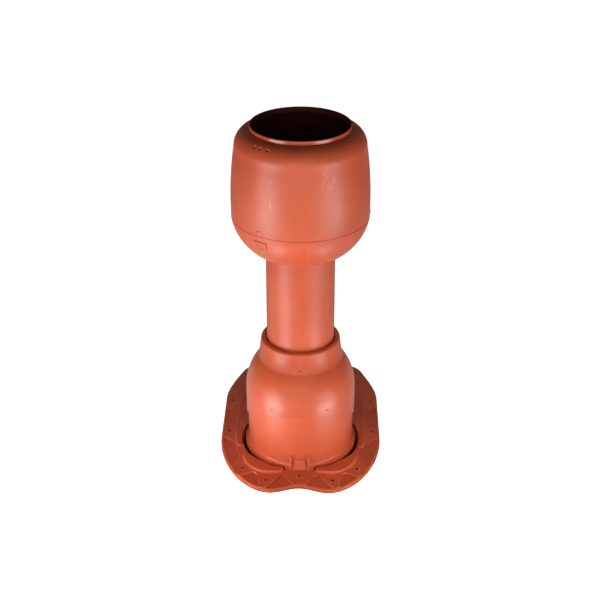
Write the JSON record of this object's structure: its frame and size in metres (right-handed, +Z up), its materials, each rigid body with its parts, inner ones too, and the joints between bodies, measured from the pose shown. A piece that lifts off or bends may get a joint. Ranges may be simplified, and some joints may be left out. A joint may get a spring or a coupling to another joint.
{
  "type": "roof vent pipe",
  "caption": "Plastic roof vent: a round open-topped hood on a pipe, a tilting dome over a barrel, and a flanged base with drain gutters and screw holes.",
  "frame": {"origin": "under the middle of the flange, on the surface that it stands on", "axes": "+Z up along the pipe, front lobes of the flange towards -Y, +X to the right seen from the front"},
  "size_m": [0.397, 0.5586, 0.8348],
  "materials": {
    "base_plastic": "moulded terracotta plastic, satin, with fine ribbing in the sunken bays of the flange",
    "dome_plastic": "smooth moulded terracotta plastic, satin",
    "pipe_plastic": "extruded terracotta plastic pipe, satin",
    "bowl_plastic": "smooth moulded terracotta plastic, satin",
    "shell_plastic": "smooth moulded terracotta plastic, satin, with a few pale scuffs"
  },
  "bodies": {
    "root": {"base": "base_plastic", "dome": "dome_plastic", "pipe": "pipe_plastic", "hood_bowl": "bowl_plastic", "hood_shell": "shell_plastic"}
  },
  "joints": []
}
